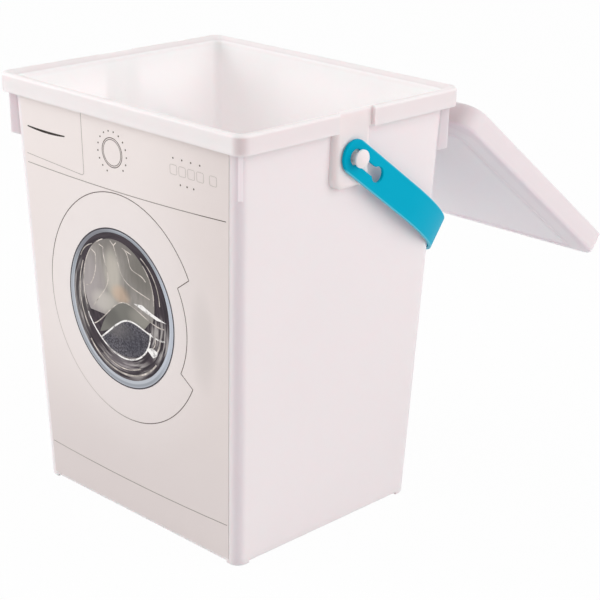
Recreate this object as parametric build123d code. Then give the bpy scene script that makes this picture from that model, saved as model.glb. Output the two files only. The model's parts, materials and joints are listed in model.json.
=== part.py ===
from build123d import *
import os
from math import cos, hypot, radians, sin, tan

# A washing-powder bucket with a hinged lid and a strap handle, millimetres.
# X runs along the front, Y goes to the rear and Z is up.
# The origin is at the middle of the underside, on the surface that the bucket stands on.
# The lid is modelled closed and then swung open to its rest on the hinge stops.

# Bucket body and its rolled-over rim
rim_width = 200.0
rim_depth = 169.8
bucket_height = 249.7
draft_angle = 2.26
wall = 1.8
corner_radius = 6.5
floor_thickness = 2.0
floor_step = 1.2
floor_step_inset = 9.0
floor_fillet = 3.0
gate_radius = 3.0
gate_depth = 0.5
foot_height = 1.0
foot_reach = 9.0
foot_wall = 3.0
foot_edge_radius = 0.4
bottom_edge_radius = 1.2
skirt_height = 10.8
skirt_wall = 1.8
rim_corner_radius = 6.9
rim_edge_radius = 2.0
side_overhang = 6.5
front_overhang = 5.35
land_start = 2.5
land_drop = 2.4
flange = 2.0
mouth_edge_radius = 1.5

# Upright fins under the rim at its corners
fin_thickness = 2.3
fin_skirt_gap = 1.7
fin_below_skirt = 26.9
fin_bottom_slope = 2.5
fin_lean = 0.5
fin_corner_radius = 0.8

# Handle pads on both sides, each with a mushroom peg
pad_width = 27.0
pad_recess = 2.5
pad_below_skirt = 32.4
pad_wall = 2.0
pad_corner_radius = 6.5
pad_edge_radius = 3.5
pad_web = 2.5
peg_below_skirt = 14.9
peg_stem_radius = 2.5
peg_head_radius = 5.0
peg_head_rim = 1.2
peg_head_dome = 1.2

# Strap handle, bent round the rear of the bucket
strap_width = 19.4
strap_thickness = 2.0
strap_gap = 0.4
strap_head_gap = 3.3
strap_angle = 36.5
strap_bend_across = 26.6
strap_bend_along = 58.2
strap_seat_gap = 0.3
strap_edge_radius = 0.5
keyhole_radius = 4.45
keyhole_spacing = 21.3
keyhole_neck = 5.5
keyhole_neck_radius = 1.5

# Lid
lid_side_gap = 0.5
lid_top_gap = 0.3
lid_wall = 1.8
lid_corner_radius = 10.0
lid_edge_radius = 2.2
border_width = 10.75
border_rise = 2.4
panel_corner_radius = 4.0
groove_inset = 12.0
groove_width = 2.8
groove_slope = 0.9
groove_depth = 0.8
rib_height = 4.0
rib_wall = 1.2
rib_mouth_gap = 1.6
lid_open_angle = 218.0

# Hinge between the rear of the rim and the lid
hinge_spacing = 90.0
hinge_offset = 5.6
hinge_rise = 0.5
pin_radius = 2.0
pin_play = 0.2
hook_width = 12.0
hook_wall = 1.8
hook_mouth = 3.2
ear_thickness = 2.5
ear_wall = 1.4
ear_side_gap = 0.4
ear_top_gap = 0.6
ear_foot = 22.0
stop_gap = 0.3
stop_start = 4.3
stop_end = 11.4

# Printed front: a film on the front wall, and thin fields of ink on it
label_thickness = 0.2
label_side_margin = 0.7
label_end_margin = 0.8
label_foot_margin = 2.0
ink = 0.06
line_width = 0.45
thin_line_width = 0.35
panel_line_drop = 40.0
panel_line_sag = 1.9
panel_line_margin = 2.0
kick_line_height = 24.0
kick_line_sag = 2.0
drawer_width = 54.5
drawer_line_drop = 36.2
drawer_line_slope = 3.0
drawer_corner_radius = 2.0
drawer_slot_inset = 5.5
drawer_slot_width = 33.6
drawer_slot_drop = 18.4
drawer_slot_sag = 0.7
drawer_slot_thickness = 1.4
drawer_slot_end = 0.7
dial_x = -6.2
dial_drop = 19.5
dial_radius = 8.3
dial_ring_radius = 7.3
dial_dots = 15
dial_dot_ring = 12.0
dial_dot_first = -44.0
dial_dot_sweep = 290.0
dot_radius = 0.5
start_button_inset = 12.4
button_row_inset = 22.1
button_spacing = 6.87
button_count = 4
button_size = 5.6
button_corner_radius = 1.2
button_drop = 18.5
button_lamp_drop = 12.2
lower_lamp_inset = 27.3
lower_lamp_drop = 25.9
lower_lamp_spacing = 5.15
lower_lamp_count = 3

# Printed door
door_x = -3.6
door_panel_gap = 1.25
door_half_width = 63.6
door_half_height = 67.2
door_grip_step = 10.6
door_grip_angle = 28.0

# The door's picture, drawn round the door's middle for a door of a given half width
picture_half_width = 63.6
bezel_x = -2.1
bezel_y = -0.5
bezel_half_width = 45.0
bezel_half_height = 47.0
bezel_top_width = 2.6
bezel_bottom_width = 5.0
bezel_side_width = 4.0
bezel_edge = 0.8
drum_x = -3.4
drum_y = 9.5
drum_radius = 30.5
water_drop = 16.7
fold_line_width = 0.6
seal_line_width = 1.0

# Sizes and places worked out from the ones above
slope = tan(radians(draft_angle))
skirt_bottom = bucket_height - skirt_height
land_bottom = bucket_height - land_drop
channel_top = land_bottom - flange
floor_top = foot_height + floor_thickness
pad_face = rim_width / 2 - pad_recess
peg_height = skirt_bottom - peg_below_skirt
strap_inside = pad_face + strap_gap
strap_outside = strap_inside + strap_thickness
peg_head_under = strap_outside + strap_head_gap
lid_half_x = rim_width / 2 + lid_side_gap + lid_wall
lid_half_y = rim_depth / 2 + lid_side_gap + lid_wall
lid_edge = bucket_height + lid_top_gap + lid_wall
lid_top = lid_edge + border_rise
pivot_y = lid_half_y + hinge_offset
pivot_z = skirt_bottom + hinge_rise
hook_radius = pin_radius + pin_play + hook_wall
hinge_centres = (-hinge_spacing / 2, hinge_spacing / 2)
panel_height = skirt_bottom - panel_line_drop
door_height = panel_height - panel_line_sag / 2 - door_panel_gap - door_half_height


def body_half(height):
    """Half the body's outer width and depth at a height, where it tapers towards the floor."""
    inset = (skirt_bottom - height) * slope
    return rim_width / 2 - side_overhang - inset, rim_depth / 2 - front_overhang - inset


def plan(height, half_x, half_y, radius):
    """A rounded rectangle lying at a height, centred on the bucket."""
    return Pos(0, 0, height) * RectangleRounded(2 * half_x, 2 * half_y, radius)


def body_plan(height, inset=0.0):
    """The body's outline at a height, or one that runs a given inset inside it."""
    half_x, half_y = body_half(height)
    return plan(height, half_x - inset, half_y - inset, corner_radius - inset)


def side_profile(*points):
    """A face through points that are given as (Y, Z)."""
    return Plane.YZ * make_face(Polyline(*points, close=True))


def block(x_low, x_high, y_low, y_high, z_low, z_high):
    """A block between two corners."""
    size = (x_high - x_low, y_high - y_low, z_high - z_low)
    return Pos(x_low, y_low, z_low) * Box(*size, align=(Align.MIN, Align.MIN, Align.MIN))


def on_both_sides(shape):
    """A shape on the right and its mirror image on the left."""
    return shape + mirror(shape, about=Plane.YZ)


def make_rim():
    """The rolled-over rim: a rounded top edge and a skirt that hangs clear of the body."""
    outline = plan(skirt_bottom, rim_width / 2, rim_depth / 2, rim_corner_radius)
    rim = extrude(outline, skirt_height)
    rim = fillet(rim.edges().group_by(Axis.Z)[-1], rim_edge_radius)
    inside = plan(
        skirt_bottom,
        rim_width / 2 - skirt_wall,
        rim_depth / 2 - skirt_wall,
        rim_corner_radius - skirt_wall,
    )
    return rim - extrude(inside, channel_top - skirt_bottom)


def make_fins():
    """Four upright fins on the corner diagonals, from the body out towards the skirt."""
    centre_x = rim_width / 2 - rim_corner_radius
    centre_y = rim_depth / 2 - rim_corner_radius
    bottom = skirt_bottom - fin_below_skirt
    outer = rim_corner_radius - skirt_wall - fin_skirt_gap
    inner = -max(side_overhang, front_overhang)
    profile = Plane.XZ * make_face(
        Polyline(
            (inner, bottom),
            (outer - fin_lean, bottom + fin_bottom_slope),
            (outer, channel_top),
            (inner, channel_top),
            close=True,
        )
    )
    plate = extrude(profile, fin_thickness / 2, both=True)
    lower_corner = plate.edges().filter_by(Axis.Y).sort_by_distance((outer, 0, bottom))[0]
    plate = fillet(lower_corner, fin_corner_radius)
    right = Pos(centre_x, centre_y, 0) * Rot(0, 0, 45) * plate
    right += mirror(right, about=Plane.XZ)
    return on_both_sides(right)


def make_pad():
    """The right-hand handle pad, rounded and hollow below the skirt, with a web behind the peg."""
    bottom = skirt_bottom - pad_below_skirt
    wall_x, _ = body_half(bottom)
    half = pad_width / 2
    pad = block(wall_x - wall / 2, pad_face, -half, half, bottom, skirt_bottom)
    lower_edges = pad.edges().filter_by(Axis.X).group_by(Axis.Z)[0]
    pad = fillet(lower_edges, pad_corner_radius)
    face_edges = pad.faces().sort_by(Axis.X)[-1].edges().sort_by(Axis.Z)[:-1]
    pad = fillet(face_edges, pad_edge_radius)
    top = block(wall_x, pad_face, -half, half, skirt_bottom, bucket_height)
    top_edge = top.edges().filter_by(Axis.Y).group_by(Axis.Z)[-1].sort_by(Axis.X)[-1]
    pad += fillet(top_edge, rim_edge_radius)
    inner = half - pad_wall
    hollow = block(0, pad_face - pad_wall, -inner, inner, bottom - 1, channel_top)
    corners = hollow.edges().filter_by(Axis.Z).group_by(Axis.X)[-1]
    hollow = fillet(corners, pad_edge_radius - pad_wall)
    web = block(0, pad_face - pad_wall, -pad_web / 2, pad_web / 2, bottom, channel_top)
    return pad - (hollow - web)


def make_peg():
    """The right-hand mushroom peg that the strap snaps over, with a domed head."""
    root = pad_face - pad_wall / 2
    standing = (Align.CENTER, Align.CENTER, Align.MIN)
    stem = Pos(0, 0, root) * Cylinder(peg_stem_radius, peg_head_under - root, align=standing)
    head_height = peg_head_rim + peg_head_dome
    dome_radius = (peg_head_radius**2 + peg_head_dome**2) / (2 * peg_head_dome)
    dome = Pos(0, 0, peg_head_under + head_height - dome_radius) * Sphere(dome_radius)
    head = Pos(0, 0, peg_head_under) * Cylinder(peg_head_radius, head_height, align=standing)
    return Pos(0, 0, peg_height) * Rot(0, 90, 0) * (stem + (head & dome))


def make_ears():
    """Pairs of ears with a pin between them, under the rear of the rim."""
    open_slope = radians(lid_open_angle - 180)
    along = Vector(0, cos(open_slope), -sin(open_slope))
    inward = Vector(0, -sin(open_slope), -cos(open_slope))
    pivot = Vector(0, pivot_y, pivot_z)
    stop_face = pivot + along * (hinge_offset - stop_gap)
    stop_top = stop_face + inward * stop_start
    stop_foot = stop_face + inward * stop_end
    ear_radius = pin_radius + ear_wall
    _, foot_y = body_half(skirt_bottom - ear_foot)
    _, root_y = body_half(channel_top)
    ear_top = skirt_bottom - ear_top_gap
    in_skirt = rim_depth / 2 - skirt_wall / 4
    outline = side_profile(
        (foot_y - wall / 2, skirt_bottom - ear_foot),
        (stop_foot.Y, stop_foot.Z),
        (stop_top.Y, stop_top.Z),
        (pivot_y + ear_radius, pivot_z),
        (pivot_y, ear_top),
        (in_skirt, ear_top),
        (in_skirt, channel_top),
        (root_y - wall / 2, channel_top),
    )
    ring = Plane.YZ * Pos(pivot_y, pivot_z) * Circle(ear_radius)
    ear = extrude(outline + ring, ear_thickness)
    pin = Plane.YZ * Pos(pivot_y, pivot_z) * Circle(pin_radius)
    inner = hook_width / 2 + ear_side_gap
    pair = Pos(inner, 0, 0) * ear
    pair += mirror(pair, about=Plane.YZ)
    pair += extrude(pin, inner + ear_thickness / 2, both=True)
    return [Pos(centre, 0, 0) * pair for centre in hinge_centres]


def make_body():
    """The solid tapered body, with a rounded lower edge."""
    body = loft([body_plan(foot_height), body_plan(land_bottom)], ruled=True)
    return fillet(body.edges().group_by(Axis.Z)[0], bottom_edge_radius)


def make_feet():
    """Short feet under the four corners of the body, flush with its walls."""
    top = foot_height + bottom_edge_radius
    foot = loft([body_plan(0), body_plan(top)], ruled=True)
    foot = fillet(foot.edges().group_by(Axis.Z)[0], foot_edge_radius)
    foot -= extrude(body_plan(0, foot_wall), foot_height)
    half_x, half_y = body_half(top)
    keep = block(half_x - foot_reach, half_x, half_y - foot_reach, half_y, 0, top)
    keep += mirror(keep, about=Plane.XZ)
    return foot & on_both_sides(keep)


def make_floor_recess():
    """The underside's shallow step and its gate mark, to be cut away."""
    half_x, half_y = body_half(foot_height)
    recess = plan(
        foot_height, half_x - floor_step_inset, half_y - floor_step_inset, corner_radius
    )
    step = extrude(recess, floor_step)
    gate = Pos(0, 0, foot_height + floor_step) * Cylinder(
        gate_radius, gate_depth, align=(Align.CENTER, Align.CENTER, Align.MIN)
    )
    return step + gate


def make_inside():
    """The inside: stepped floor, tapered walls and the funnel over the rim's sloping land."""
    half_x, half_y = body_half(land_bottom)
    neck = plan(land_bottom, half_x - wall, half_y - wall, corner_radius - wall)
    mouth = plan(
        bucket_height,
        rim_width / 2 - land_start,
        rim_depth / 2 - land_start,
        rim_corner_radius - land_start,
    )
    inside = loft([body_plan(floor_top, wall), neck], ruled=True)
    inside += loft([neck, mouth], ruled=True)
    neck_edges = inside.edges().filter_by_position(Axis.Z, land_bottom - 0.01, land_bottom + 0.01)
    inside = fillet(neck_edges, mouth_edge_radius)
    inside = fillet(inside.edges().group_by(Axis.Z)[0], floor_fillet)
    half_x, half_y = body_half(foot_height)
    step = plan(
        foot_height, half_x - floor_step_inset, half_y - floor_step_inset, corner_radius
    )
    return inside - extrude(step, floor_top + floor_step - foot_height)


def make_bucket():
    """The bucket as one moulding, with its pads, pegs, fins, hinge ears and feet."""
    notch = block(
        pad_face,
        rim_width / 2 + 1,
        -pad_width / 2,
        pad_width / 2,
        skirt_bottom - 1,
        bucket_height + 1,
    )
    end_wall = block(
        body_half(skirt_bottom)[0] - wall / 2,
        rim_width / 2 - skirt_wall / 2,
        pad_width / 2,
        pad_width / 2 + skirt_wall,
        skirt_bottom,
        channel_top,
    )
    end_wall += mirror(end_wall, about=Plane.XZ)
    bucket = make_body() + (make_rim() - on_both_sides(notch))
    bucket += on_both_sides(end_wall)
    bucket += make_fins()
    bucket += on_both_sides(make_pad())
    bucket += make_feet()
    bucket += make_ears()
    bucket -= make_floor_recess()
    bucket -= make_inside()
    return bucket + on_both_sides(make_peg())


def lid_plan(height, inset, radius):
    """The lid's outline at a height, or one that runs a given inset inside it."""
    return plan(height, lid_half_x - inset, lid_half_y - inset, radius)


def make_hooks():
    """Open hooks on the lid's rear skirt that snap over the pins from above."""
    arm_top = pivot_z + hook_radius
    inside_skirt = lid_half_y - lid_wall / 2
    arm = side_profile(
        (inside_skirt, pivot_z),
        (pivot_y, pivot_z),
        (pivot_y, arm_top),
        (inside_skirt, arm_top),
    )
    centre = Pos(pivot_y, pivot_z)
    ring = Plane.YZ * centre * Circle(hook_radius)
    bore = Plane.YZ * centre * Circle(pin_radius + pin_play)
    mouth = Plane.YZ * Pos(pivot_y, pivot_z - hook_radius) * Rectangle(
        hook_mouth, 2 * hook_radius
    )
    hook = extrude(arm + ring - bore - mouth, hook_width / 2, both=True)
    return [Pos(centre_x, 0, 0) * hook for centre_x in hinge_centres]


def make_lid_groove():
    """The shallow groove with sloping sides round the lid's raised panel, to be cut away."""
    low = lid_top - groove_depth
    outer_inset = groove_inset + groove_slope
    core_top_inset = groove_inset + groove_width
    core_low_inset = core_top_inset - groove_slope
    outline = loft(
        [
            lid_plan(low, outer_inset, panel_corner_radius),
            lid_plan(lid_top, groove_inset, panel_corner_radius),
        ],
        ruled=True,
    )
    core = loft(
        [
            lid_plan(low, core_low_inset, panel_corner_radius),
            lid_plan(lid_top, core_top_inset, panel_corner_radius),
        ],
        ruled=True,
    )
    return outline - core


def make_lid():
    """The cap lid with its raised panel, on its hooks, swung open."""
    outer_skirt = lid_plan(skirt_bottom, 0, lid_corner_radius)
    lid = extrude(outer_skirt, lid_edge - skirt_bottom)
    edge_outline = lid_plan(lid_edge, 0, lid_corner_radius)
    lid += loft([edge_outline, lid_plan(lid_top, border_width, panel_corner_radius)], ruled=True)
    outer_edge = lid.edges().filter_by_position(Axis.Z, lid_edge - 0.01, lid_edge + 0.01)
    lid = fillet(outer_edge, lid_edge_radius)
    inner_radius = lid_corner_radius - lid_wall
    inner_skirt = lid_plan(skirt_bottom, lid_wall, inner_radius)
    inside = extrude(inner_skirt, lid_edge - lid_wall - skirt_bottom)
    inside += loft(
        [
            lid_plan(lid_edge - lid_wall, lid_wall, inner_radius),
            lid_plan(lid_top - lid_wall, border_width, panel_corner_radius),
        ],
        ruled=True,
    )
    half_x, half_y = body_half(bucket_height)
    rib_x = half_x - wall - rib_mouth_gap
    rib_y = half_y - wall - rib_mouth_gap
    rib_bottom = lid_top - lid_wall - rib_height
    rib_outline = plan(rib_bottom, rib_x, rib_y, panel_corner_radius)
    rib_core = plan(rib_bottom, rib_x - rib_wall, rib_y - rib_wall, panel_corner_radius - rib_wall)
    lid -= inside
    lid -= make_lid_groove()
    lid += extrude(rib_outline - rib_core, rib_height + lid_wall / 2)
    lid += make_hooks()
    return lid.rotate(Axis((0, pivot_y, pivot_z), (1, 0, 0)), -lid_open_angle)


def strap_seat(reach):
    """The gap between the strap's lower inner edge and the body's rear corner."""
    lean = radians(strap_angle)
    gaps = []
    for degrees_round in range(91):
        turn = radians(degrees_round)
        along = reach - strap_bend_along + (strap_bend_along - strap_thickness) * sin(turn)
        x = strap_outside - strap_bend_across + (strap_bend_across - strap_thickness) * cos(turn)
        y = along * cos(lean) - strap_width / 2 * sin(lean)
        z = peg_height - along * sin(lean) - strap_width / 2 * cos(lean)
        half_x, half_y = body_half(z)
        past_x = max(x - half_x + corner_radius, 0)
        past_y = max(y - half_y + corner_radius, 0)
        gaps.append(hypot(past_x, past_y) - corner_radius)
    return min(gaps)


def strap_reach():
    """How far the strap reaches behind the pegs: closed in until it rests on its seat."""
    reach = rim_depth
    for _ in range(40):
        reach += strap_seat_gap - strap_seat(reach)
    return reach


def strap_face(half_x, reach, bend_centre_x, bend_centre_v):
    """The face inside a U with straight arms and bends that are quarter ellipses."""
    bend = EllipticalCenterArc(
        (bend_centre_x, bend_centre_v), half_x - bend_centre_x, reach - bend_centre_v, 0, arc_size=90
    )
    arm = Line((half_x, -strap_width / 2), bend @ 0)
    right = arm + bend
    back = Line(bend @ 1, (-(bend @ 1).X, reach))
    front = Line(arm @ 0, (-half_x, -strap_width / 2))
    return make_face(right + back + mirror(right, about=Plane.YZ) + front)


def make_keyhole():
    """A keyhole through both arms, its first lobe round the peg and its second behind it."""
    lobes = Circle(keyhole_radius) + Pos(keyhole_spacing, 0) * Circle(keyhole_radius)
    neck = Pos(keyhole_spacing / 2, 0) * Rectangle(keyhole_spacing, keyhole_neck)
    keyhole = lobes + neck
    inner_corners = keyhole.vertices().filter_by_position(
        Axis.X, keyhole_radius / 2, keyhole_spacing - keyhole_radius / 2
    )
    return fillet(inner_corners, keyhole_neck_radius)


def make_handle_strap():
    """The flat strap: a U round the rear of the bucket, with rounded ends on the pegs."""
    reach = strap_reach()
    bend_x = strap_outside - strap_bend_across
    bend_v = reach - strap_bend_along
    outer = strap_face(strap_outside, reach, bend_x, bend_v)
    inner = strap_face(strap_inside, reach - strap_thickness, bend_x, bend_v)
    strap = extrude(outer - inner, strap_width / 2, both=True)
    side_plane = Plane(origin=(0, 0, 0), x_dir=(0, 1, 0), z_dir=(1, 0, 0))
    end = Circle(strap_width / 2) + Pos(reach / 2, 0) * Rectangle(reach, strap_width)
    silhouette = extrude(side_plane * end, strap_outside, both=True)
    strap = strap & silhouette
    strap -= extrude(side_plane * make_keyhole(), strap_outside, both=True)
    strap = fillet(strap.edges(), strap_edge_radius)
    lean = radians(strap_angle)
    resting = Plane(
        origin=(0, 0, peg_height), x_dir=(1, 0, 0), z_dir=(0, sin(lean), cos(lean))
    )
    return resting * strap


front_plane = Plane(
    origin=(0, -body_half(foot_height)[1], foot_height),
    x_dir=(1, 0, 0),
    z_dir=(0, -cos(radians(draft_angle)), -sin(radians(draft_angle))),
)


def spot(x, height):
    """A place on the sloping front wall, at a height over the ground."""
    return (x, (height - foot_height) / cos(radians(draft_angle)))


def below_skirt(x, drop):
    """A place on the sloping front wall, at a distance below the rim's skirt."""
    return spot(x, skirt_bottom - drop)


def printed(shape, layer):
    """A thin field of ink over the film, on top of the layers of ink under it."""
    under = label_thickness + layer * ink
    return extrude(front_plane.offset(under) * shape, ink)


def label_half(height):
    """Half the printed film's width at a height, just inside the rounded corners."""
    return body_half(height)[0] - corner_radius - label_side_margin


def make_front_label():
    """The printed film over the flat of the front wall."""
    low = foot_height + label_foot_margin
    high = skirt_bottom - label_end_margin
    film = make_face(
        Polyline(
            spot(-label_half(low), low),
            spot(label_half(low), low),
            spot(label_half(high), high),
            spot(-label_half(high), high),
            close=True,
        )
    )
    return extrude(front_plane * film, label_thickness)


def ring(radius, width=line_width):
    """A printed circle of a given line width."""
    return Circle(radius + width / 2) - Circle(radius - width / 2)


def make_panel_lines():
    """The control panel's lower line, the kick line and the drawer's outline."""
    panel_half = label_half(panel_height) - panel_line_margin
    panel = ThreePointArc(
        spot(-panel_half, panel_height),
        spot(0, panel_height - panel_line_sag / 2),
        spot(panel_half, panel_height + panel_line_sag),
    )
    kick_half = label_half(kick_line_height) - panel_line_margin / 2
    kick = ThreePointArc(
        spot(-kick_half, kick_line_height),
        spot(0, kick_line_height - kick_line_sag),
        spot(kick_half, kick_line_height),
    )
    drawer_height = skirt_bottom - drawer_line_drop
    drawer_right = drawer_width - label_half(skirt_bottom)
    drawer = FilletPolyline(
        spot(-label_half(drawer_height) + panel_line_margin, drawer_height + drawer_line_slope / 2),
        spot(drawer_right, drawer_height - drawer_line_slope / 2),
        below_skirt(drawer_right, 2 * label_end_margin),
        radius=drawer_corner_radius,
    )
    return trace(panel, line_width) + trace(kick, line_width) + trace(drawer, thin_line_width)


def make_door_line():
    """The door's outline, with the grip's step at its right."""
    centre = spot(door_x, door_height)
    grip_start = radians(door_grip_angle)
    outer_x = door_half_width * cos(grip_start)
    outer_y = door_half_height * sin(grip_start)
    grip_radius = door_half_width - door_grip_step
    inner_x = grip_radius * cos(grip_start)
    inner_y = grip_radius * sin(grip_start)
    frame = EllipticalCenterArc(
        (0, 0),
        door_half_width,
        door_half_height,
        door_grip_angle,
        arc_size=360 - 2 * door_grip_angle,
    )
    grip = ThreePointArc((inner_x, inner_y), (grip_radius, 0), (inner_x, -inner_y))
    upper = Line((outer_x, outer_y), (inner_x, inner_y))
    lower = Line((outer_x, -outer_y), (inner_x, -inner_y))
    lines = [trace(line, line_width) for line in (frame, grip, upper, lower)]
    outline = lines[0] + lines[1] + lines[2] + lines[3]
    return Pos(*centre) * outline


def make_dial():
    """The programme dial's two circles and the dots round it."""
    dial = ring(dial_radius) + ring(dial_ring_radius, thin_line_width)
    step = dial_dot_sweep / (dial_dots - 1)
    dial += [
        Rot(0, 0, dial_dot_first + index * step) * Pos(dial_dot_ring, 0) * Circle(dot_radius)
        for index in range(dial_dots)
    ]
    return Pos(*below_skirt(dial_x, dial_drop)) * dial


def make_button(x):
    """One button's rounded square outline."""
    inner = button_size - 2 * thin_line_width
    outline = RectangleRounded(button_size, button_size, button_corner_radius)
    outline -= RectangleRounded(inner, inner, button_corner_radius - thin_line_width)
    return Pos(*below_skirt(x, button_drop)) * outline


def make_buttons():
    """The row of buttons, the start button and the small lamps over and under them."""
    right = label_half(skirt_bottom)
    row = [right - button_row_inset - index * button_spacing for index in range(button_count)]
    lamps = [
        right - lower_lamp_inset - index * lower_lamp_spacing for index in range(lower_lamp_count)
    ]
    marks = [make_button(x) for x in row + [right - start_button_inset]]
    marks += [Pos(*below_skirt(x, button_lamp_drop)) * Circle(dot_radius) for x in row]
    marks += [Pos(*below_skirt(x, lower_lamp_drop)) * Circle(dot_radius) for x in lamps]
    return Sketch() + marks


def make_print_lines():
    """Every thin grey line and dot of the front."""
    return printed(make_panel_lines() + make_door_line() + make_dial() + make_buttons(), 0)


def make_print_drawer_slot():
    """The dark sagging slot of the drawer's grip, thinner at its ends."""
    left = drawer_slot_inset - label_half(skirt_bottom)
    right = left + drawer_slot_width
    middle = (left + right) / 2
    edges = []
    for side in (-1, 1):
        end_drop = drawer_slot_drop + side * drawer_slot_end / 2
        middle_drop = drawer_slot_drop + drawer_slot_sag + side * drawer_slot_thickness / 2
        edges.append(
            ThreePointArc(
                below_skirt(left, end_drop),
                below_skirt(middle, middle_drop),
                below_skirt(right, end_drop),
            )
        )
    upper, lower = edges
    ends = [Line(upper @ 0, lower @ 0), Line(upper @ 1, lower @ 1)]
    return printed(make_face([upper, lower] + ends), 0)


def in_door(shape, layer):
    """A field of the door's picture, sized to the door and laid on the layers under it."""
    sized = scale(shape, by=door_half_width / picture_half_width)
    return printed(Pos(*spot(door_x, door_height)) * sized, layer)


def patch(*points):
    """A printed field with straight sides through points."""
    return make_face(Polyline(*points, close=True))


def main_face(field):
    """The largest face of a field that lines cut through."""
    return field.faces().sort_by(SortBy.AREA)[-1]


def make_bezel():
    """The door's bezel, a full oval under the glass."""
    return Pos(bezel_x, bezel_y) * Ellipse(bezel_half_width, bezel_half_height)


def make_bezel_edge():
    """The dark outline round the bezel."""
    core = Ellipse(bezel_half_width - bezel_edge, bezel_half_height - bezel_edge)
    return make_bezel() - Pos(bezel_x, bezel_y) * core


def make_glass():
    """The dark glass inside the bezel, set a little high so that the bezel is wider below."""
    rise = (bezel_bottom_width - bezel_top_width) / 2
    half_height = bezel_half_height - (bezel_top_width + bezel_bottom_width) / 2
    glass = Ellipse(bezel_half_width - bezel_side_width, half_height)
    return Pos(bezel_x, bezel_y + rise) * glass


def make_drum():
    """The drum's round back wall above the water line."""
    above = Pos(drum_x, drum_y - water_drop) * Rectangle(
        2 * drum_radius, 2 * drum_radius, align=(Align.CENTER, Align.MIN)
    )
    return (Pos(drum_x, drum_y) * Circle(drum_radius)) & above


def make_lifter():
    """The grey wave in front of the drum, between its upper and lower light lines."""
    upper = Spline((-21.4, -19), (-10.4, -2.5), (0.6, 4.2), (13.6, 2), (23.6, -0.8))
    lower = Spline((17.1, -7.8), (3.6, -5.9), (-6.4, -11), (-21.4, -19))
    return make_face(upper + Line(upper @ 1, lower @ 0) + lower)


def make_pool():
    """The slate-coloured pool under the wave."""
    top = Spline((-21.4, -22), (-6.4, -11), (3.6, -5.9), (23.6, -7.5))
    bottom = Spline((23.6, -7.5), (13.6, -24), (-1.4, -28.5), (-21.4, -22))
    return make_face(top + bottom)


def make_fold_lines():
    """The pale lines of the folds behind the glass and of the rings round the drum."""
    lines = [
        Line((-25.4, 29.6), (-22.2, 28)),
        Spline((-22.2, 28), (-22.4, 19.5), (-28.4, 7.5)),
        Line((-28.4, 7.5), (-31.9, 6.5)),
        Line((-18.4, 34.2), (-14.8, 33.2)),
        Spline((-14.8, 33.2), (-14.4, 26.5), (-11.9, 14.5), (-16.4, 6.5), (-26.4, -5)),
        Line((-8.4, 38.6), (-5.6, 36.4)),
        Line((-3.2, 38.6), (-5.6, 36.4)),
        Spline((-5.6, 36.4), (-2.9, 28.5), (1.1, 19.5), (11.6, 14.5), (23.6, 12)),
        Line((1.6, 36.6), (9.6, 34.6)),
        Spline((1.6, 36.6), (6.6, 32), (8.1, 27), (16.6, 24), (20.6, 21.5)),
        Spline((-31.9, -5.5), (-33.9, 9.5), (-26.4, 29.5), (-14.9, 38)),
        Spline((-35.4, 23.5), (-31.4, 29), (-24.4, 33)),
        Spline((-33.4, 21), (-37.2, 8), (-36.4, -8), (-31.4, -19)),
        Spline((17.1, 34.5), (27.6, 24.5), (31.6, 10)),
        Spline((18.6, 30.5), (24.6, 22), (26.6, 9)),
        Spline((-26.4, -15.5), (-10.4, -2.5), (0.6, 4.2), (13.6, 2), (34.6, -2.5)),
        Spline((26.4, -8.5), (26.6, -13), (24.6, -16.5)),
        Spline((30.6, -9.5), (30.1, -14), (27.6, -18)),
        Spline((-19.4, -31.5), (-2.4, -36.4), (12.6, -32.5)),
    ]
    seal = Spline((-30.4, -26), (-18.4, -35.8), (-2.4, -39.6), (13.6, -36), (26.6, -26))
    return Sketch() + [trace(line, fold_line_width) for line in lines] + trace(seal, seal_line_width)


def make_gleams():
    """The white gleams on the glass and along both edges of the pool."""
    lines = [
        Spline((-20.4, -22), (-6.4, -11), (3.6, -5.9), (17.6, -7.8), (34.6, -9.8)),
        Spline((-31.4, -9.5), (-21.4, -22), (-0.4, -29.9), (15.6, -23.5), (22.6, -8)),
    ]
    gleams = Sketch() + [trace(line, seal_line_width) for line in lines]
    gleams += patch((9.6, 6), (16.6, 7), (24.6, 4.2), (36.6, 1.4), (28.6, 1.2), (18.6, 3.4))
    gleams += patch((18.6, -18.5), (23.6, -16.5), (28.1, -18), (27.6, -20.5), (24.1, -22.5))
    return gleams & make_glass()


gleam_field = make_gleams()
fold_field = (make_fold_lines() & make_glass()) - gleam_field
lines_field = gleam_field + fold_field
lifter_field = main_face(make_lifter() - lines_field)
pool_field = main_face(make_pool() - make_lifter() - lines_field)
drum_field = main_face(make_drum() - make_lifter() - make_pool() - lines_field)

nodes = {
    "bucket": make_bucket(),
    "lid": make_lid(),
    "handle_strap": make_handle_strap(),
    "front_label": make_front_label(),
    "print_lines": make_print_lines(),
    "print_drawer_slot": make_print_drawer_slot(),
    "print_bezel": in_door(make_bezel(), 0),
    "print_bezel_edge": in_door(make_bezel_edge(), 1),
    "print_glass": in_door(make_glass(), 1),
    "print_drum": in_door(drum_field, 2),
    "print_lifter": in_door(lifter_field, 2),
    "print_pool": in_door(pool_field, 2),
    "print_fold_lines": in_door(fold_field, 2),
    "print_gleams": in_door(gleam_field, 2),
}

os.makedirs("parts", exist_ok=True)
for name, shape in nodes.items():
    export_step(shape, "parts/" + name + ".step")
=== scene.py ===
# A washing-powder bucket with a printed front, a hinged lid and a strap handle, in metres.
# X runs along the front, Y goes to the rear and Z is up. The bucket stands on Z = 0.
import json
import math

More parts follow.
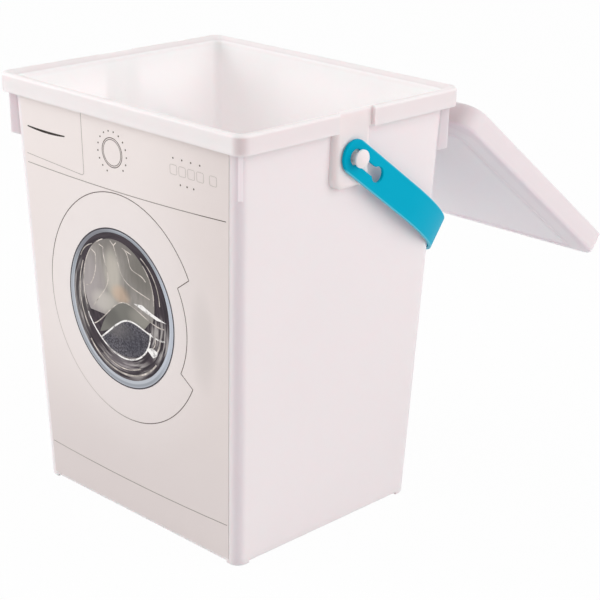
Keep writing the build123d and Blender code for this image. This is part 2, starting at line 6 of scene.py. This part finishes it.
import bpy
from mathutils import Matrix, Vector

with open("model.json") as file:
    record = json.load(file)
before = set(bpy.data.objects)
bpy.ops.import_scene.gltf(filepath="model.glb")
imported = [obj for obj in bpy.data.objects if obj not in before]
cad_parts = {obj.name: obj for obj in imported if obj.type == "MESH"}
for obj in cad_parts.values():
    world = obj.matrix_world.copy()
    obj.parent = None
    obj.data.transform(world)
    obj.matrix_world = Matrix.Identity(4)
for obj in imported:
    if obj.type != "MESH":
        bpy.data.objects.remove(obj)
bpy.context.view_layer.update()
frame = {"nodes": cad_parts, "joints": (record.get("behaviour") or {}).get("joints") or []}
nodes = frame["nodes"]

# The photograph's camera
camera_place = (0.677, -0.635, 0.4543)
camera_turn = (70.076, -1.009, 44.540)
camera_lens = 100.73
camera_sensor = 36.0

# The point that the lamps are turned to, and how much of the floor's colour is the background's
lamp_target = Vector((0, 0, 0.12))
floor_glow = 0.97

# Places and sizes of the mouldings that the materials follow, in metres
joints = {joint["name"]: joint for joint in frame["joints"]}
HINGE_BACK, HINGE_HEIGHT = joints["lid_hinge"]["pos_m"][1:]
LID_TURN = math.radians(joints["lid_hinge"]["range_deg"][1])
PEG_HEIGHT = joints["handle_swing"]["pos_m"][2]
STRAP_LEAN = math.radians(36.5)
RIM_HALF_X = 0.1
RIM_HALF_Y = 0.0849
SKIRT_BOTTOM = 0.2389
BODY_HALF_X = 0.0935
BODY_HALF_Y = 0.07955
BODY_RADIUS = 0.0065
BODY_SLOPE = 0.03947
GROOVE_HALF_X = 0.0889
GROOVE_HALF_Y = 0.0738
GROOVE_RADIUS = 0.004
BORDER_REACH = 0.0134
BORDER_WIDTH = 0.01075
BORDER_RISE = 0.0024
LID_EDGE_ABOVE_HINGE = 0.0124

# Middle of the printed door and of its bezel, in millimetres
DOOR_MIDDLE = (-3.6, 129.5)
BEZEL_MIDDLE = (-5.7, 129)
BEZEL_HALF = (45, 47)

# Colours, as they show on a screen from 0 to 255
WHITE_PLASTIC = (240, 233, 234)
WHITE_SHADE = (237, 231, 232)
# Painted light: the lid's top face is painted lighter than the bucket's plastic, against the shade it
# lies in
WHITE_LID_PAINTED_LIGHT = (255, 242, 246)
LID_FLOW_PAINTED_LIGHT = (253, 240, 244)
# Painted shade: the lid's skirt is darker than its top face
LID_SKIRT_PAINTED_SHADE = (236, 227, 229)
# Painted shade in soft bands round the lid's groove and at its edge
LID_GROOVE_PAINTED_SHADE = (248, 235, 240)
# Painted light: the bucket's walls are painted brighter within the bucket
WHITE_INSIDE_PAINTED_LIGHT = (254, 247, 247)
# Painted shade down the bucket's upright corners
CORNER_PAINTED_SHADE = (233, 226, 229)
# Painted light on the fins at the bucket's corners
FIN_PAINTED_LIGHT = (247, 236, 239)
RIM_SIDE = (240, 230, 231)
# Painted light: the front of the rim is lighter than its other sides
RIM_FRONT_PAINTED_LIGHT = (247, 238, 238)
# Painted shade at the rim's rounded corners
RIM_CORNER_PAINTED_SHADE = (230, 218, 219)
# Painted light on the rim's upward faces
RIM_TOP_PAINTED_LIGHT = (248, 239, 239)
# Painted light: the pad is lifted out of the shade of the rim's notch and warmed against the strap's
# turquoise light
PAD_PAINTED_LIGHT = (245, 232, 232)
TURQUOISE_PLASTIC = (0, 174, 206)
TURQUOISE_SHADE = (0, 168, 200)
# Painted highlight along the strap's long edges
TURQUOISE_PAINTED_HIGHLIGHT = (120, 212, 232)
# Painted light: the film's top is lighter against the rim skirt's shadow
FILM_TOP_PAINTED_LIGHT = (242, 232, 229)
FILM_LEFT = (238, 228, 225)
FILM_RIGHT = (229, 218, 215)
FILM_BOTTOM = (224, 214, 212)
LINE_DARK = (88, 76, 70)
LINE_PALE = (206, 197, 192)
DOOR_FACE = (246, 240, 240)
GRIP_SHADE = (214, 205, 202)
BEZEL_INNER = (192, 196, 204)
BEZEL_MIDST = (158, 163, 171)
BEZEL_OUTER = (184, 188, 196)
GLASS_DARK = (42, 33, 41)
GLASS_SHADE = (62, 52, 59)
GLASS_LIGHT = (176, 170, 168)


def screen_colour(rgb):
    """A colour given as it shows on a screen, as the linear one that a shader takes."""
    linear = []
    for value in rgb:
        part = value / 255
        linear.append(part / 12.92 if part <= 0.04045 else ((part + 0.055) / 1.055) ** 2.4)
    return (*linear, 1.0)


class Shader:
    """A material's node tree, with short ways to add the nodes that the materials here use."""

    def __init__(self, name, roughness, specular=0.5):
        self.material = bpy.data.materials.new(name)
        self.material.use_nodes = True
        self.tree = self.material.node_tree
        self.surface = self.tree.nodes["Principled BSDF"]
        self.surface.inputs["Roughness"].default_value = roughness
        self.surface.inputs["Specular IOR Level"].default_value = specular

    def node(self, kind, **inputs):
        made = self.tree.nodes.new("ShaderNode" + kind)
        for key, value in inputs.items():
            made.inputs[key.replace("_", " ")].default_value = value
        return made

    def link(self, output, target):
        self.tree.links.new(output, target)

    def place(self):
        """The point in the row's frame, in metres."""
        return self.node("TexCoord").outputs["Object"]

    def spot_at(self, x, height, reach_x, reach_height):
        """1 at a place on the front and 0 from a reach round it on, in millimetres."""
        along, _, up = self.parts_of_place()
        across = self.math("DIVIDE", self.math("SUBTRACT", along, x / 1000), reach_x / 1000)
        over = self.math("DIVIDE", self.math("SUBTRACT", up, height / 1000), reach_height / 1000)
        squares = self.math("MULTIPLY", across, across)
        squares = self.math("ADD", squares, self.math("MULTIPLY", over, over))
        return self.ramp(squares, 1.0, 0.0)

    def parts_of_place(self):
        split = self.node("SeparateXYZ")
        self.link(self.place(), split.inputs[0])
        return split.outputs

    def noise_over(self, across, back, up):
        """Noise over three sockets, one wave of it to each unit of a socket."""
        joined = self.node("CombineXYZ")
        for socket, value in zip(joined.inputs, (across, back, up)):
            self.link(value, socket)
        made = self.node("TexNoise", Scale=1.0, Detail=3.0)
        self.link(joined.outputs[0], made.inputs["Vector"])
        return made.outputs["Fac"]

    def upright_streaks(self, per_metre, per_metre_up):
        """Noise drawn out up and down the front."""
        along, back, up = self.parts_of_place()
        across = self.math("MULTIPLY", along, per_metre)
        over = self.math("MULTIPLY", up, per_metre_up)
        return self.noise_over(across, back, over)

    def round_streaks(self, x, height, per_metre, per_turn):
        """Noise drawn out along circles round a place on the front, in millimetres."""
        along, _, up = self.parts_of_place()
        across = self.math("SUBTRACT", along, x / 1000)
        over = self.math("SUBTRACT", up, height / 1000)
        squares = self.math("MULTIPLY", across, across)
        squares = self.math("ADD", squares, self.math("MULTIPLY", over, over))
        reach = self.math("SQRT", squares)
        across = self.math("MULTIPLY", self.math("DIVIDE", across, reach), per_turn)
        over = self.math("MULTIPLY", self.math("DIVIDE", over, reach), per_turn)
        return self.noise_over(across, over, self.math("MULTIPLY", reach, per_metre))

    def math(self, operation, first, second=0.0, third=0.0):
        made = self.tree.nodes.new("ShaderNodeMath")
        made.operation = operation
        for socket, value in zip(made.inputs, (first, second, third)):
            if isinstance(value, (int, float)):
                socket.default_value = value
            else:
                self.link(value, socket)
        return made.outputs[0]

    def product(self, *factors):
        total = factors[0]
        for factor in factors[1:]:
            total = self.math("MULTIPLY", total, factor)
        return total

    def highest(self, *values):
        top = values[0]
        for value in values[1:]:
            top = self.math("MAXIMUM", top, value)
        return top

    def past(self, value, limit):
        """How far a value lies beyond a limit on either side of 0."""
        return self.math("SUBTRACT", self.math("ABSOLUTE", value), limit)

    def off_outline(self, past_x, past_y, radius):
        """The distance outside a rounded rectangle, from how far a point is past its corner centres."""
        square_x = self.math("POWER", self.math("MAXIMUM", past_x, 0.0), 2.0)
        square_y = self.math("POWER", self.math("MAXIMUM", past_y, 0.0), 2.0)
        out = self.math("SQRT", self.math("ADD", square_x, square_y))
        inward = self.math("MINIMUM", self.math("MAXIMUM", past_x, past_y), 0.0)
        return self.math("SUBTRACT", self.math("ADD", out, inward), radius)

    def ramp(self, value, low, high):
        """0 where the value is at or under low and 1 where it is at or over high, eased between."""
        made = self.tree.nodes.new("ShaderNodeMapRange")
        made.interpolation_type = "SMOOTHSTEP"
        self.link(value, made.inputs["Value"])
        made.inputs["From Min"].default_value = low
        made.inputs["From Max"].default_value = high
        return made.outputs["Result"]

    def mix(self, factor, first, second):
        """A blend of two colours, each a screen colour or a socket."""
        made = self.tree.nodes.new("ShaderNodeMix")
        made.data_type = "RGBA"
        self.link(factor, made.inputs["Factor"])
        for socket, value in zip((made.inputs[6], made.inputs[7]), (first, second)):
            if isinstance(value, tuple):
                socket.default_value = screen_colour(value)
            else:
                self.link(value, socket)
        return made.outputs[2]

    def noise(self, scale, detail=2.0, roughness=0.5):
        made = self.node("TexNoise", Scale=scale, Detail=detail, Roughness=roughness)
        self.link(self.place(), made.inputs["Vector"])
        return made.outputs["Fac"]

    def colour(self, socket):
        self.link(socket, self.surface.inputs["Base Color"])

    def tone(self):
        """The socket that the surface takes its colour from so far."""
        return self.surface.inputs["Base Color"].links[0].from_socket

    def varied_roughness(self, value, low, high):
        made = self.tree.nodes.new("ShaderNodeMapRange")
        self.link(value, made.inputs["Value"])
        made.inputs["To Min"].default_value = low
        made.inputs["To Max"].default_value = high
        self.link(made.outputs["Result"], self.surface.inputs["Roughness"])

    def bump(self, height, strength, distance):
        made = self.node("Bump", Strength=strength, Distance=distance)
        self.link(height, made.inputs["Height"])
        self.link(made.outputs["Normal"], self.surface.inputs["Normal"])


def plastic(name, colour, shade, roughness, grain):
    """Moulded polypropylene: a satin skin with a faint flow in its colour and gloss."""
    shader = Shader(name, roughness)
    flow = shader.noise(9.0, 3.0)
    shader.colour(shader.mix(flow, colour, shade))
    skin = shader.noise(900.0, 2.0)
    shader.varied_roughness(flow, roughness - 0.05, roughness + 0.05)
    shader.bump(skin, grain, 0.00005)
    return shader


def glow_through(shader):
    """Lets light pass through the thin walls."""
    inputs = shader.surface.inputs
    inputs["Specular IOR Level"].default_value = 0.3
    inputs["Subsurface Weight"].default_value = 1.0
    inputs["Subsurface Radius"].default_value = (1.0, 0.85, 0.88)
    inputs["Subsurface Scale"].default_value = 0.002


def lid_plastic():
    """White plastic, painted lighter on its top face against its shade, with painted shade on its skirt
    and in soft bands round the panel's groove and at its edge.
    """
    shader = plastic("lid_plastic", WHITE_LID_PAINTED_LIGHT, LID_FLOW_PAINTED_LIGHT, 0.4, 0.08)
    glow_through(shader)
    along, back, height = shader.parts_of_place()

    # Where the point lies when the lid is shut: its depth, and its height over the hinge
    turn_cos = math.cos(LID_TURN)
    turn_sin = math.sin(LID_TURN)
    out = shader.math("SUBTRACT", back, HINGE_BACK)
    up = shader.math("SUBTRACT", height, HINGE_HEIGHT)
    shut_y = shader.math("MULTIPLY_ADD", out, turn_cos, shader.math("MULTIPLY", up, -turn_sin))
    shut_y = shader.math("ADD", shut_y, HINGE_BACK)
    shut_z = shader.math("MULTIPLY_ADD", out, turn_sin, shader.math("MULTIPLY", up, turn_cos))

    # Painted shade in soft bands on both sides of the groove and at the lid's edge, on the top face
    # only
    past_x = shader.past(along, GROOVE_HALF_X - GROOVE_RADIUS)
    past_y = shader.past(shut_y, GROOVE_HALF_Y - GROOVE_RADIUS)
    groove = shader.off_outline(past_x, past_y, GROOVE_RADIUS)
    outer = shader.product(shader.ramp(groove, 0.0006, 0.0014), shader.ramp(groove, 0.0042, 0.0022))
    inner = shader.product(shader.ramp(groove, -0.0006, -0.0014), shader.ramp(groove, -0.0046, -0.0022))
    edge = shader.ramp(groove, 0.0078, 0.0098)
    groove_painted_shade = shader.highest(outer, shader.product(inner, 0.6), edge)
    slope = BORDER_RISE / BORDER_WIDTH
    rise = shader.math("MULTIPLY_ADD", groove, -slope, BORDER_REACH * slope)
    rise = shader.math("MINIMUM", shader.math("MAXIMUM", rise, 0.0), BORDER_RISE)
    over = shader.math("SUBTRACT", shader.math("SUBTRACT", shut_z, LID_EDGE_ABOVE_HINGE), rise)
    groove_painted_shade = shader.product(groove_painted_shade, shader.ramp(over, -0.0014, -0.0011))

    # Painted shade in the bands round the groove and at the lid's edge
    tone = shader.mix(groove_painted_shade, shader.tone(), LID_GROOVE_PAINTED_SHADE)
    # Painted shade over the skirt, below the top face
    tone = shader.mix(shader.ramp(shut_z, 0.0108, 0.0120), LID_SKIRT_PAINTED_SHADE, tone)
    shader.colour(tone)
    return shader.material


def bucket_plastic():
    """White plastic, with painted light within the bucket, on its fins, pad, rim top and rim front, and
    painted shade down its upright corners and at the rim's corners.
    """
    shader = plastic("bucket_plastic", WHITE_PLASTIC, WHITE_SHADE, 0.4, 0.08)
    glow_through(shader)
    along, back, height = shader.parts_of_place()

    # How far the point is from the tapered wall's outer face
    taper = shader.math("MULTIPLY", shader.math("SUBTRACT", SKIRT_BOTTOM, height), BODY_SLOPE)
    past_x = shader.math("ADD", shader.past(along, BODY_HALF_X - BODY_RADIUS), taper)
    past_y = shader.math("ADD", shader.past(back, BODY_HALF_Y - BODY_RADIUS), taper)
    depth = shader.off_outline(past_x, past_y, BODY_RADIUS)
    inside_painted_light = shader.ramp(depth, -0.0006, -0.0014)

    below_rim = shader.ramp(height, 0.2395, 0.2385)
    on_wall = shader.ramp(depth, 0.0008, 0.0004)
    off_wall = shader.ramp(depth, 0.0008, 0.0014)
    # Painted shade down the upright corners, below the rim
    corner = shader.product(shader.ramp(past_x, 0.0, 0.004), shader.ramp(past_y, 0.0, 0.004))
    corner = shader.product(corner, below_rim, on_wall)
    # Painted light on the fins below the rim
    fin_painted_light = shader.product(shader.ramp(past_x, 0.0, 0.002), shader.ramp(past_y, 0.0, 0.002))
    fin_painted_light = shader.product(fin_painted_light, below_rim, off_wall)

    rim = shader.ramp(height, 0.238, 0.2405)
    # Painted light on the front of the rim
    rim_front_painted_light = shader.product(shader.ramp(back, 0.0044 - RIM_HALF_Y, 0.0014 - RIM_HALF_Y), rim)
    # Painted shade at the rim's rounded corners
    rim_x = shader.ramp(shader.past(along, RIM_HALF_X), -0.0075, -0.002)
    rim_y = shader.ramp(shader.past(back, RIM_HALF_Y), -0.0075, -0.002)
    rim_corner_painted_shade = shader.product(rim_x, rim_y, rim)
    # Painted light on the pad under the rim's notch
    pad_x = shader.ramp(shader.past(along, RIM_HALF_X), -0.0065, -0.0045)
    pad_y = shader.ramp(shader.math("ABSOLUTE", back), 0.0155, 0.0125)

    tone = shader.mix(corner, shader.tone(), CORNER_PAINTED_SHADE)
    tone = shader.mix(fin_painted_light, tone, FIN_PAINTED_LIGHT)
    tone = shader.mix(rim, tone, RIM_SIDE)
    tone = shader.mix(rim_front_painted_light, tone, RIM_FRONT_PAINTED_LIGHT)
    tone = shader.mix(rim_corner_painted_shade, tone, RIM_CORNER_PAINTED_SHADE)
    tone = shader.mix(shader.product(pad_x, pad_y), tone, PAD_PAINTED_LIGHT)
    # Painted light within the bucket
    tone = shader.mix(inside_painted_light, tone, WHITE_INSIDE_PAINTED_LIGHT)
    # Painted light on the rim's top
    tone = shader.mix(shader.ramp(height, 0.2474, 0.2488), tone, RIM_TOP_PAINTED_LIGHT)
    shader.colour(tone)

    # Painted glow: an emission within the open bucket that stands in for the light its white walls hand
    # on to each other
    shader.surface.inputs["Emission Color"].default_value = (1.0, 0.93, 0.93, 1.0)
    glow = shader.product(inside_painted_light, shader.ramp(height, 0.2475, 0.2435), 0.08)
    shader.link(glow, shader.surface.inputs["Emission Strength"])
    return shader.material


def turquoise_plastic():
    """Turquoise plastic, with a painted highlight along the strap's two long edges."""
    shader = plastic("turquoise_plastic", TURQUOISE_PLASTIC, TURQUOISE_SHADE, 0.45, 0.15)
    _, back, height = shader.parts_of_place()
    up = shader.math("MULTIPLY", shader.math("SUBTRACT", height, PEG_HEIGHT), math.cos(STRAP_LEAN))
    across = shader.math("ABSOLUTE", shader.math("MULTIPLY_ADD", back, math.sin(STRAP_LEAN), up))
    # Painted highlight along the strap's two long edges
    edge = shader.product(shader.ramp(across, 0.0088, 0.0095), 0.7)
    shader.colour(shader.mix(edge, shader.tone(), TURQUOISE_PAINTED_HIGHLIGHT))
    shader.surface.inputs["Specular IOR Level"].default_value = 0.06
    shader.surface.inputs["Specular Tint"].default_value = (0.0, 0.85, 1.0, 1.0)
    return shader.material


def label_film():
    """The printed film: darker towards the floor, with painted light under the rim, the door's pale
    face and its grip's printed shade.
    """
    shader = Shader("label_film", 0.42, 0.3)
    along, _, height = shader.parts_of_place()
    # Painted light on the upper film under the rim, against the rim skirt's shadow
    over = shader.product(shader.ramp(height, 0.14, 0.235), shader.ramp(along, 0.095, 0.01))
    door = shader.product(shader.spot_at(*DOOR_MIDDLE, 90, 95), 0.35)
    grip = shader.product(shader.spot_at(62, 127.5, 12, 36), 0.55)
    tone = shader.mix(shader.ramp(along, -0.08, 0.06), FILM_LEFT, FILM_RIGHT)
    tone = shader.mix(shader.ramp(height, 0.11, 0.02), tone, FILM_BOTTOM)
    tone = shader.mix(over, tone, FILM_TOP_PAINTED_LIGHT)
    tone = shader.mix(door, tone, DOOR_FACE)
    tone = shader.mix(grip, tone, GRIP_SHADE)
    shader.colour(tone)
    shader.bump(shader.noise(700.0), 0.06, 0.00005)
    return shader.material


def line_ink():
    """Grey print, paler on the buttons, round the drawer, on the panel and at the door's lower left."""
    shader = Shader("line_ink", 0.5, 0.2)
    along, _, height = shader.parts_of_place()
    button_row = shader.product(shader.ramp(height, 0.215, 0.2165), shader.ramp(height, 0.2250, 0.2235))
    buttons = shader.product(shader.ramp(along, 0.036, 0.038), button_row)
    panel = shader.product(shader.ramp(height, 0.1969, 0.1973), shader.ramp(height, 0.2, 0.1995))
    panel = shader.product(panel, shader.math("MULTIPLY_ADD", along, -1.8, 0.4))
    drawer = shader.product(shader.ramp(along, -0.026, -0.028), shader.ramp(height, 0.1995, 0.2), 0.65)
    door = shader.product(shader.spot_at(-62, 76, 78, 80), 0.95)
    foot = shader.product(shader.ramp(height, 0.028, 0.027), 0.4)
    pale = shader.highest(buttons, drawer, panel, door, foot)
    shader.colour(shader.mix(pale, LINE_DARK, LINE_PALE))
    return shader.material


def toned_ink(name, colour, *spots):
    """Print with soft spots of other tones: each spot is a colour, a share, a place and its reach."""
    shader = Shader(name, 0.5, 0.2)
    tone = shader.mix(shader.noise(60.0), tuple(0.94 * value for value in colour), colour)
    shader.colour(with_spots(shader, tone, spots))
    return shader.material


def with_spots(shader, tone, spots):
    """A tone with soft spots of other tones on it."""
    for spot_colour, share, x, height, reach_x, reach_height in spots:
        amount = shader.math("MULTIPLY", shader.spot_at(x, height, reach_x, reach_height), share)
        tone = shader.mix(amount, tone, spot_colour)
    return tone


def grained_ink(name, dark, light, scale, low, high):
    """Print that wavers between two tones at a given number of grains to the metre."""
    shader = Shader(name, 0.5, 0.2)
    grain = shader.ramp(shader.noise(scale, 4.0, 0.6), low, high)
    shader.colour(shader.mix(grain, dark, light))
    return shader


def bezel_ink():
    """Blue-grey print in rings, as on polished metal."""
    shader = Shader("bezel_ink", 0.5, 0.2)
    along, _, up = shader.parts_of_place()
    across = shader.math("SUBTRACT", along, BEZEL_MIDDLE[0] / 1000)
    over = shader.math("SUBTRACT", up, BEZEL_MIDDLE[1] / 1000)
    across = shader.math("DIVIDE", across, BEZEL_HALF[0] / 1000)
    over = shader.math("DIVIDE", over, BEZEL_HALF[1] / 1000)
    squares = shader.math("ADD", shader.product(across, across), shader.product(over, over))
    ring = shader.math("SQRT", squares)
    tone = shader.mix(shader.ramp(ring, 0.925, 0.945), BEZEL_INNER, BEZEL_MIDST)
    tone = shader.mix(shader.ramp(ring, 0.96, 0.98), tone, BEZEL_OUTER)
    spots = (
        ((204, 210, 222), 0.7, 42, 130, 30, 50),
        ((124, 123, 130), 0.8, -32, 168, 30, 24),
        ((200, 204, 213), 0.4, -50, 118, 14, 34),
    )
    shader.colour(with_spots(shader, tone, spots))
    return shader.material


def glass_ink():
    """Dark glass with light caught in it in round streaks."""
    shader = Shader("glass_ink", 0.5, 0.2)
    streaks = shader.round_streaks(*BEZEL_MIDDLE, 620, 2.2)
    left = shader.spot_at(-42, 120, 9, 40)
    low = shader.spot_at(-4, 97, 30, 11)
    right = shader.spot_at(27, 118, 12, 18)
    light = shader.product(shader.ramp(streaks, 0.42, 0.66), shader.highest(left, low, right))
    tone = shader.mix(shader.ramp(streaks, 0.35, 0.6), GLASS_DARK, GLASS_SHADE)
    tone = shader.mix(light, tone, GLASS_LIGHT)
    spots = (
        ((112, 108, 106), 0.3, -40, 120, 8, 34),
        ((150, 142, 146), 0.4, -9, 96, 18, 6),
    )
    shader.colour(with_spots(shader, tone, spots))
    return shader.material


def drum_ink():
    """Grey print with upright streaks, as of brushed metal in a weak light."""
    shader = Shader("drum_ink", 0.5, 0.2)
    streaks = shader.ramp(shader.upright_streaks(330, 70), 0.3, 0.7)
    tone = shader.mix(streaks, (142, 137, 132), (160, 154, 149))
    spots = (
        ((112, 108, 102), 0.85, 16, 156, 22, 20),
        ((122, 117, 113), 0.8, -10, 170, 26, 14),
        ((176, 167, 168), 0.7, -32, 134, 18, 30),
        ((200, 193, 182), 0.75, -11, 148, 9, 20),
        ((206, 200, 192), 0.7, -20, 130, 14, 8),
        ((214, 180, 150), 0.5, -5.0, 138.0, 10, 7),
        ((104, 102, 97), 0.4, 1.5, 142, 5, 6),
    )
    shader.colour(with_spots(shader, tone, spots))
    return shader.material


def lifter_ink():
    """Grey print, paler at its right and darker at its left."""
    spots = (
        ((152, 148, 140), 0.8, 14, 128, 16, 8),
        ((96, 94, 90), 0.7, -14, 122, 10, 8),
    )
    return toned_ink("lifter_ink", (122, 120, 114), *spots)


def pool_ink():
    """Slate print with the fine grain of wet cloth in it."""
    shader = grained_ink("pool_ink", (48, 46, 54), (110, 107, 115), 900.0, 0.35, 0.7)
    spots = (
        ((116, 112, 112), 0.55, -10, 116, 20, 7),
        ((52, 52, 64), 0.45, 4, 112, 14, 10),
    )
    shader.colour(with_spots(shader, shader.tone(), spots))
    return shader.material


def dress(node, material):
    """Gives a CAD node its material."""
    piece = nodes[node]
    piece.data.materials.clear()
    piece.data.materials.append(material)


def area_lamp(name, place, size, power):
    """A round white lamp that is turned to the middle of the bucket."""
    data = bpy.data.lights.new(name, "AREA")
    data.shape = "DISK"
    data.size = size
    data.energy = power
    lamp = bpy.data.objects.new(name, data)
    bpy.context.scene.collection.objects.link(lamp)
    lamp.location = place
    lamp.rotation_mode = "QUATERNION"
    lamp.rotation_quaternion = (lamp_target - Vector(place)).to_track_quat("-Z", "Y")


def make_camera():
    data = bpy.data.cameras.new("camera")
    data.lens = camera_lens
    data.sensor_width = camera_sensor
    data.clip_start = 0.01
    camera = bpy.data.objects.new("camera", data)
    bpy.context.scene.collection.objects.link(camera)
    camera.location = camera_place
    camera.rotation_euler = [math.radians(angle) for angle in camera_turn]
    bpy.context.scene.camera = camera


def seen_directly(tree):
    """1 for rays from the camera, off gloss or through glass, which show the background, else 0."""
    rays = tree.nodes.new("ShaderNodeLightPath")
    total = rays.outputs["Is Camera Ray"]
    for kind in ("Is Glossy Ray", "Is Transmission Ray"):
        both = tree.nodes.new("ShaderNodeMath")
        both.operation = "ADD"
        both.use_clamp = True
        tree.links.new(total, both.inputs[0])
        tree.links.new(rays.outputs[kind], both.inputs[1])
        total = both.outputs[0]
    return total


def make_floor():
    """A pale floor that is near white to the camera and keeps the object's soft shadow."""
    bpy.ops.mesh.primitive_plane_add(size=12, location=(0, 0, -0.0002))
    floor = bpy.context.object
    floor.name = "floor"
    material = bpy.data.materials.new("floor")
    material.use_nodes = True
    tree = material.node_tree
    surface = tree.nodes["Principled BSDF"]
    surface.inputs["Base Color"].default_value = (0.8, 0.8, 0.8, 1)
    surface.inputs["Roughness"].default_value = 0.9
    surface.inputs["Specular IOR Level"].default_value = 0.1
    glow = tree.nodes.new("ShaderNodeEmission")
    glow.inputs["Strength"].default_value = 1.0
    share = tree.nodes.new("ShaderNodeMath")
    share.operation = "MULTIPLY"
    share.inputs[1].default_value = floor_glow
    blend = tree.nodes.new("ShaderNodeMixShader")
    tree.links.new(seen_directly(tree), share.inputs[0])
    tree.links.new(share.outputs[0], blend.inputs["Fac"])
    tree.links.new(surface.outputs[0], blend.inputs[1])
    tree.links.new(glow.outputs[0], blend.inputs[2])
    tree.links.new(blend.outputs[0], tree.nodes["Material Output"].inputs["Surface"])
    floor.data.materials.append(material)


def make_world():
    """A plain white world that is brighter to the camera than the light it gives."""
    world = bpy.data.worlds.new("studio")
    bpy.context.scene.world = world
    world.use_nodes = True
    tree = world.node_tree
    tree.nodes["Background"].inputs["Color"].default_value = (1, 1, 1, 1)
    level = tree.nodes.new("ShaderNodeMapRange")
    level.inputs["To Min"].default_value = 0.58
    level.inputs["To Max"].default_value = 1.0
    tree.links.new(seen_directly(tree), level.inputs["Value"])
    tree.links.new(level.outputs["Result"], tree.nodes["Background"].inputs["Strength"])


def make_studio():
    make_world()
    make_floor()
    area_lamp("top", (0.0, 0.1, 1.9), 1.6, 2.0)
    area_lamp("left_front", (-1.6, -1.5, 0.95), 2.0, 27.5)
    area_lamp("right_rear", (1.9, 0.9, 0.95), 2.4, 22.0)
    make_camera()
    bpy.context.scene.view_settings.view_transform = "Standard"


dress("bucket", bucket_plastic())
dress("lid", lid_plastic())
dress("handle_strap", turquoise_plastic())
dress("front_label", label_film())
dress("print_lines", line_ink())
dress("print_drawer_slot", toned_ink("slot_ink", (46, 34, 30)))
dress("print_bezel", bezel_ink())
dress("print_bezel_edge", toned_ink("edge_ink", (70, 66, 72)))
dress("print_glass", glass_ink())
dress("print_drum", drum_ink())
dress("print_lifter", lifter_ink())
dress("print_pool", pool_ink())
fold_ink = grained_ink("fold_ink", (150, 143, 137), (238, 228, 220), 170.0, 0.3, 0.7)
dress("print_fold_lines", fold_ink.material)
gleam_ink = grained_ink("gleam_ink", (158, 153, 152), (253, 250, 248), 260.0, 0.3, 0.55)
dress("print_gleams", gleam_ink.material)

make_studio()
